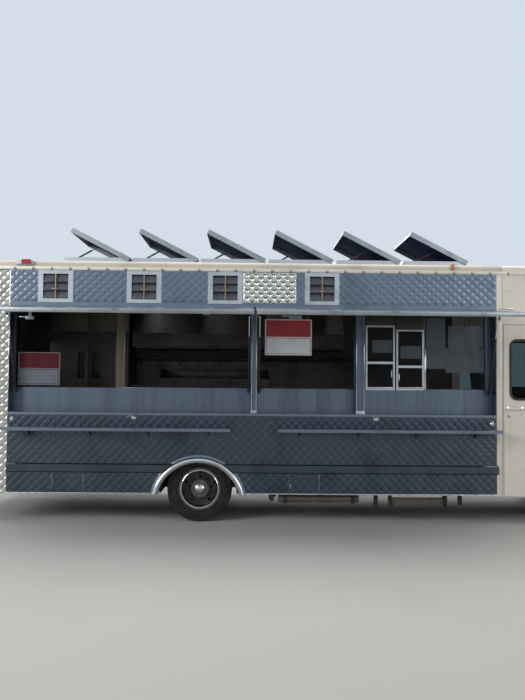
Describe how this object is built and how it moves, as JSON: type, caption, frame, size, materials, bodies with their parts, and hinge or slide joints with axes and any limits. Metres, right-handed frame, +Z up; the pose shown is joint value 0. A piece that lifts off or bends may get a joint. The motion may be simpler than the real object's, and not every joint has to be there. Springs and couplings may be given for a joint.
{
  "type": "food truck",
  "caption": "Step-van catering truck with a stainless service side, open awning doors, roof hatches, shelves, dual rear wheels, steering and opening doors.",
  "frame": {"origin": "on the ground under the middle of the truck's box, awning doors open", "axes": "+X to the front, +Y to the driver's side, +Z up; the service side faces -Y"},
  "size_m": [8.89, 3.9576, 3.7901],
  "materials": {
    "quilted_stainless": "diamond quilted sheet",
    "stainless": "brushed sheet",
    "bright_trim": "polished",
    "aluminium": "satin",
    "white_paint": "gloss enamel, weathered",
    "chassis_black": "satin black, dusty",
    "cast_grey": "cast",
    "glass_clear": "clear",
    "lens": "lens",
    "tyre_rubber": "matt",
    "wheel_steel": "dusty paint",
    "strut_black": "gloss black",
    "cab_plastic": "grained"
  },
  "bodies": {
    "root": {"chassis_frame": "chassis_black", "leaf_springs": "chassis_black", "front_axle": "cast_grey", "rear_axle": "cast_grey", "engine_and_driveshaft": "cast_grey", "tank_and_exhaust": "chassis_black", "floor": "aluminium", "service_wall": "quilted_stainless", "window_wall": "stainless", "window_frames": "aluminium", "street_wall": "quilted_stainless", "rear_wall": "quilted_stainless", "roof": "white_paint", "hatch_curbs": "aluminium", "cab_shell": "white_paint", "fixed_glass": "glass_clear", "vents": "aluminium", "body_trim": "bright_trim", "bumpers": "bright_trim", "lamps": "lens", "grille": "bright_trim", "mirrors": "cab_plastic", "kitchen_line": "stainless", "cab_interior": "cab_plastic", "shelves": "stainless"},
    "rear_wheel_service": {"rear_rims_service": "wheel_steel", "rear_tyres_service": "tyre_rubber"},
    "knuckle_service": {"knuckle_service": "cast_grey"},
    "front_wheel_service": {"front_rim_service": "wheel_steel", "front_tyre_service": "tyre_rubber"},
    "rear_wheel_street": {"rear_rims_street": "wheel_steel", "rear_tyres_street": "tyre_rubber"},
    "knuckle_street": {"knuckle_street": "cast_grey"},
    "front_wheel_street": {"front_rim_street": "wheel_steel", "front_tyre_street": "tyre_rubber"},
    "cab_door_right": {"cab_door_right": "white_paint"},
    "cab_door_left": {"cab_door_left": "white_paint"},
    "rear_door": {"rear_door": "quilted_stainless"},
    "access_door_rear": {"access_door_rear": "stainless"},
    "access_door_front": {"access_door_front": "stainless"},
    "awning_rear": {"awning_rear": "stainless"},
    "awning_strut_barrels_rear": {"awning_strut_barrels_rear": "strut_black"},
    "awning_strut_rods_rear": {"awning_strut_rods_rear": "bright_trim"},
    "awning_front": {"awning_front": "stainless"},
    "awning_strut_barrels_front": {"awning_strut_barrels_front": "strut_black"},
    "awning_strut_rods_front": {"awning_strut_rods_front": "bright_trim"},
    "hatch_lid_1": {"hatch_lid_1": "aluminium"},
    "hatch_strut_1": {"hatch_strut_1": "strut_black"},
    "hatch_lid_2": {"hatch_lid_2": "aluminium"},
    "hatch_strut_2": {"hatch_strut_2": "strut_black"},
    "hatch_lid_3": {"hatch_lid_3": "aluminium"},
    "hatch_strut_3": {"hatch_strut_3": "strut_black"},
    "hatch_lid_4": {"hatch_lid_4": "aluminium"},
    "hatch_strut_4": {"hatch_strut_4": "strut_black"},
    "hatch_lid_5": {"hatch_lid_5": "aluminium"},
    "hatch_strut_5": {"hatch_strut_5": "strut_black"},
    "hatch_lid_6": {"hatch_lid_6": "aluminium"},
    "hatch_strut_6": {"hatch_strut_6": "strut_black"}
  },
  "joints": [
    {"name": "rear_wheel_service_spin", "type": "hinge", "parent": "root", "child": "rear_wheel_service", "pos_m": [-1.495, -0.33624, 0.404], "axis": [0, 1, 0], "continuous": true},
    {"name": "steer_service", "type": "hinge", "parent": "root", "child": "knuckle_service", "pos_m": [3.585, -0.35624, 0.404], "axis": [0, 0, 1], "range_deg": [-33, 33]},
    {"name": "front_wheel_service_spin", "type": "hinge", "parent": "knuckle_service", "child": "front_wheel_service", "pos_m": [3.585, -0.41624, 0.404], "axis": [0, 1, 0], "continuous": true},
    {"name": "rear_wheel_street_spin", "type": "hinge", "parent": "root", "child": "rear_wheel_street", "pos_m": [-1.495, 1.42376, 0.404], "axis": [0, 1, 0], "continuous": true},
    {"name": "steer_street", "type": "hinge", "parent": "root", "child": "knuckle_street", "pos_m": [3.585, 1.44376, 0.404], "axis": [0, 0, 1], "range_deg": [-33, 33]},
    {"name": "front_wheel_street_spin", "type": "hinge", "parent": "knuckle_street", "child": "front_wheel_street", "pos_m": [3.585, 1.50376, 0.404], "axis": [0, 1, 0], "continuous": true},
    {"name": "cab_door_right_hinge", "type": "hinge", "parent": "root", "child": "cab_door_right", "pos_m": [3.047, -0.64424, 1.4], "axis": [0, 0, 1], "range_deg": [0, 80]},
    {"name": "cab_door_left_hinge", "type": "hinge", "parent": "root", "child": "cab_door_left", "pos_m": [3.047, 1.73176, 1.4], "axis": [0, 0, -1], "range_deg": [0, 80]},
    {"name": "rear_door_hinge", "type": "hinge", "parent": "root", "child": "rear_door", "pos_m": [-4.303, 0.94076, 1.75], "axis": [0, 0, -1], "range_deg": [0, 110]},
    {"name": "access_door_rear_hinge", "type": "hinge", "parent": "root", "child": "access_door_rear", "pos_m": [-3.2985, -0.64424, 0.48], "axis": [0, 0, -1], "range_deg": [0, 110]},
    {"name": "access_door_front_hinge", "type": "hinge", "parent": "root", "child": "access_door_front", "pos_m": [-0.3595, -0.64424, 0.48], "axis": [0, 0, -1], "range_deg": [0, 110]},
    {"name": "awning_rear_hinge", "type": "hinge", "parent": "root", "child": "awning_rear", "pos_m": [-1.495, -0.64224, 2.682], "axis": [1, 0, 0], "range_deg": [0, 83.5]},
    {"name": "awning_rear_strut_swing", "type": "hinge", "parent": "root", "child": "awning_strut_barrels_rear", "pos_m": [-1.495, -0.51624, 1.62], "axis": [1, 0, 0], "range_deg": [-21, 0]},
    {"name": "awning_rear_strut_slide", "type": "slide", "parent": "awning_strut_barrels_rear", "child": "awning_strut_rods_rear", "axis": [0, -0.3736, 0.9276], "range_m": [-0.19339, 0]},
    {"name": "awning_front_hinge", "type": "hinge", "parent": "root", "child": "awning_front", "pos_m": [-1.495, -0.64224, 2.682], "axis": [1, 0, 0], "range_deg": [0, 83.5]},
    {"name": "awning_front_strut_swing", "type": "hinge", "parent": "root", "child": "awning_strut_barrels_front", "pos_m": [-1.495, -0.51624, 1.62], "axis": [1, 0, 0], "range_deg": [-21, 0]},
    {"name": "awning_front_strut_slide", "type": "slide", "parent": "awning_strut_barrels_front", "child": "awning_strut_rods_front", "axis": [0, -0.3736, 0.9276], "range_m": [-0.19339, 0]},
    {"name": "hatch_1_hinge", "type": "hinge", "parent": "root", "child": "hatch_lid_1", "pos_m": [-2.521, 0.54376, 3.34], "axis": [0, 1, 0], "range_deg": [-27, 0]},
    {"name": "hatch_1_strut_swing", "type": "hinge", "parent": "root", "child": "hatch_strut_1", "pos_m": [-3.235, 0.04976, 3.375], "axis": [0, 1, 0], "range_deg": [0, 37.2]},
    {"name": "hatch_2_hinge", "type": "hinge", "parent": "root", "child": "hatch_lid_2", "pos_m": [-1.611, 0.54376, 3.34], "axis": [0, 1, 0], "range_deg": [-27, 0]},
    {"name": "hatch_2_strut_swing", "type": "hinge", "parent": "root", "child": "hatch_strut_2", "pos_m": [-2.325, 0.04976, 3.375], "axis": [0, 1, 0], "range_deg": [0, 37.2]},
    {"name": "hatch_3_hinge", "type": "hinge", "parent": "root", "child": "hatch_lid_3", "pos_m": [-0.701, 0.54376, 3.34], "axis": [0, 1, 0], "range_deg": [-27, 0]},
    {"name": "hatch_3_strut_swing", "type": "hinge", "parent": "root", "child": "hatch_strut_3", "pos_m": [-1.415, 0.04976, 3.375], "axis": [0, 1, 0], "range_deg": [0, 37.2]},
    {"name": "hatch_4_hinge", "type": "hinge", "parent": "root", "child": "hatch_lid_4", "pos_m": [0.209, 0.54376, 3.34], "axis": [0, 1, 0], "range_deg": [-27, 0]},
    {"name": "hatch_4_strut_swing", "type": "hinge", "parent": "root", "child": "hatch_strut_4", "pos_m": [-0.505, 0.04976, 3.375], "axis": [0, 1, 0], "range_deg": [0, 37.2]},
    {"name": "hatch_5_hinge", "type": "hinge", "parent": "root", "child": "hatch_lid_5", "pos_m": [1.119, 0.54376, 3.34], "axis": [0, 1, 0], "range_deg": [-27, 0]},
    {"name": "hatch_5_strut_swing", "type": "hinge", "parent": "root", "child": "hatch_strut_5", "pos_m": [0.405, 0.04976, 3.375], "axis": [0, 1, 0], "range_deg": [0, 37.2]},
    {"name": "hatch_6_hinge", "type": "hinge", "parent": "root", "child": "hatch_lid_6", "pos_m": [2.029, 0.54376, 3.34], "axis": [0, 1, 0], "range_deg": [-27, 0]},
    {"name": "hatch_6_strut_swing", "type": "hinge", "parent": "root", "child": "hatch_strut_6", "pos_m": [1.315, 0.04976, 3.375], "axis": [0, 1, 0], "range_deg": [0, 37.2]}
  ],
  "couplings": [
    {"joint": "steer_service", "follows": "steer_street", "ratio": 1},
    {"joint": "awning_rear_strut_swing", "follows": "awning_rear_hinge", "ratio": -0.24905},
    {"joint": "awning_rear_strut_slide", "follows": "awning_rear_hinge", "m_per_rad": -0.13256},
    {"joint": "awning_front_strut_swing", "follows": "awning_front_hinge", "ratio": -0.24905},
    {"joint": "awning_front_strut_slide", "follows": "awning_front_hinge", "m_per_rad": -0.13256},
    {"joint": "hatch_1_strut_swing", "follows": "hatch_1_hinge", "ratio": -1.3704},
    {"joint": "hatch_2_strut_swing", "follows": "hatch_2_hinge", "ratio": -1.3704},
    {"joint": "hatch_3_strut_swing", "follows": "hatch_3_hinge", "ratio": -1.3704},
    {"joint": "hatch_4_strut_swing", "follows": "hatch_4_hinge", "ratio": -1.3704},
    {"joint": "hatch_5_strut_swing", "follows": "hatch_5_hinge", "ratio": -1.3704},
    {"joint": "hatch_6_strut_swing", "follows": "hatch_6_hinge", "ratio": -1.3704}
  ]
}
